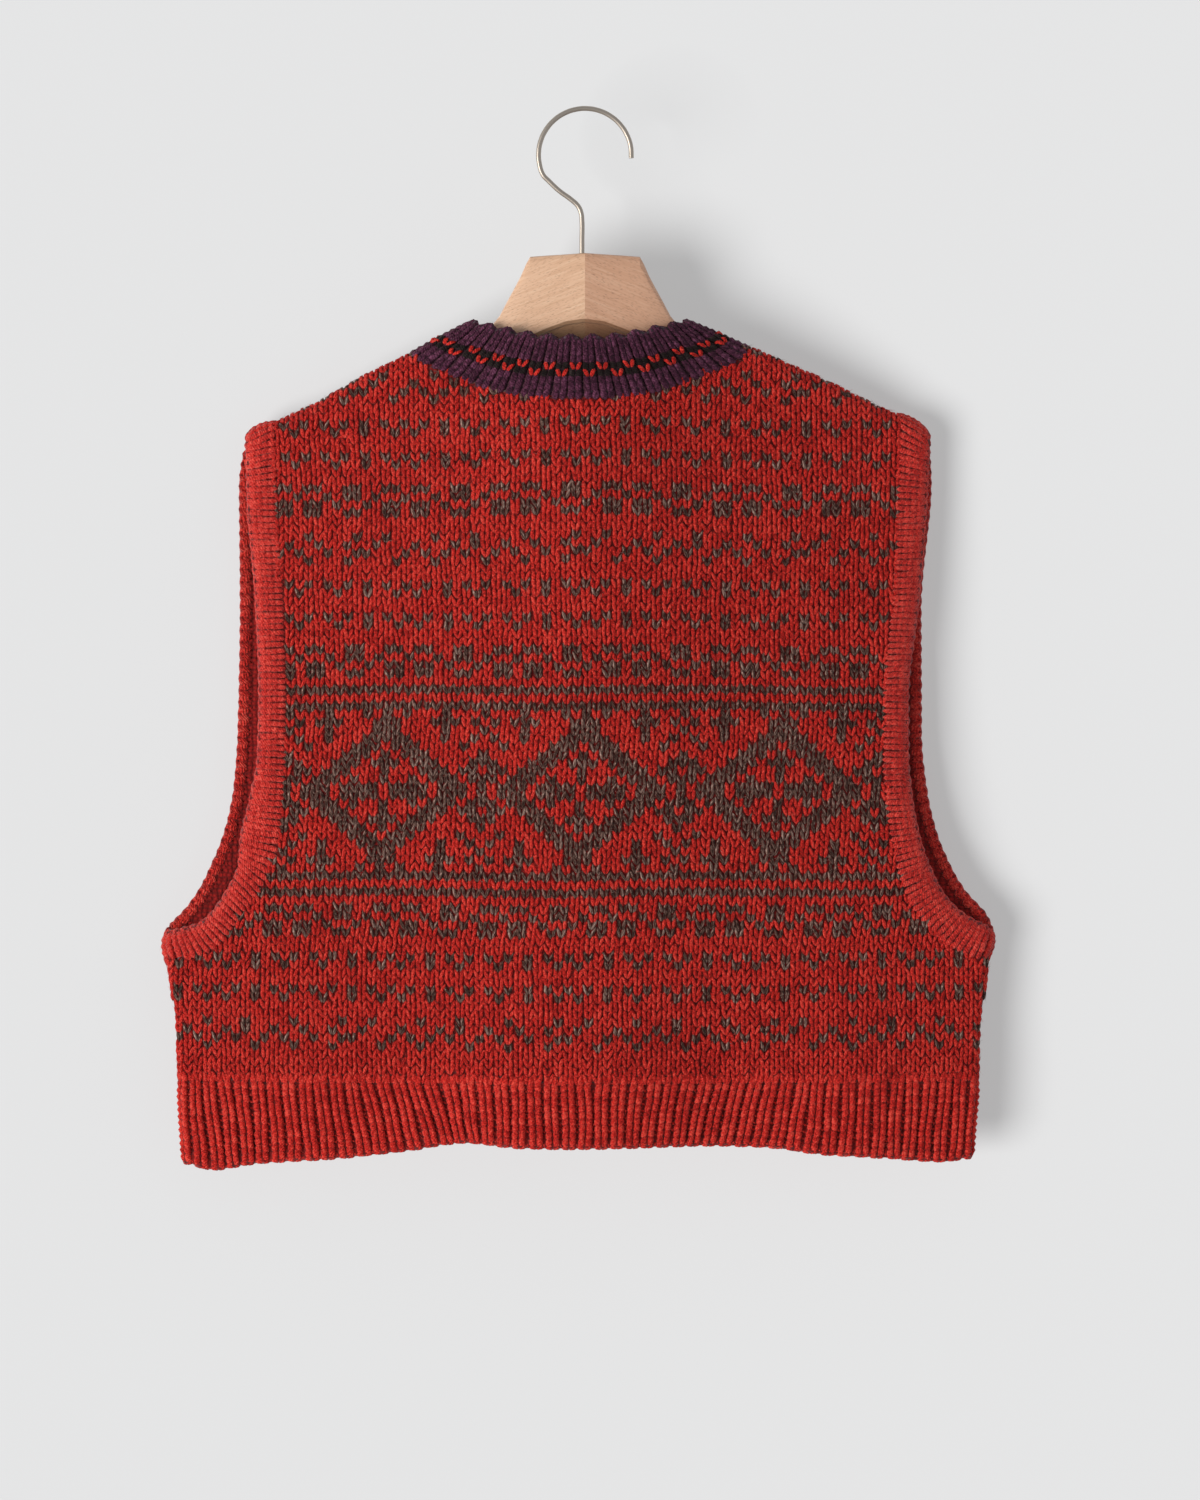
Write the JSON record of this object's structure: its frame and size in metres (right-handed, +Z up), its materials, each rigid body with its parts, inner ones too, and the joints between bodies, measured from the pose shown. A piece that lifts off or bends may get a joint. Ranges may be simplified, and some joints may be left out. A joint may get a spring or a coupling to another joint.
{
  "type": "knitted sweater vest on a wooden hanger",
  "caption": "Sleeveless pullover vest in two-colour patterned knit with ribbed neck, armholes and hem, hung on a wooden hanger with a steel hook",
  "frame": {"origin": "inner crown of the hanger's hook, where a rail carries it", "axes": "+Z up along the garment's length, +X to the viewer's right, -Y towards the shown back of the vest"},
  "size_m": [0.5241, 0.0793, 0.6602],
  "materials": {
    "knit": "soft wool knit in red and grey-brown",
    "rib": "ribbed wool knit",
    "neck_rib": "ribbed wool knit in purple with red and black",
    "wood": "satin beech",
    "steel": "nickel-plated wire"
  },
  "bodies": {
    "root": {"back_panel": "knit", "front_panel": "knit", "hem_rib_back": "rib", "hem_rib_front": "rib", "neck_band": "neck_rib", "armhole_band_left": "rib", "armhole_band_right": "rib", "hanger_wood": "wood", "hanger_hook": "steel"}
  },
  "joints": []
}
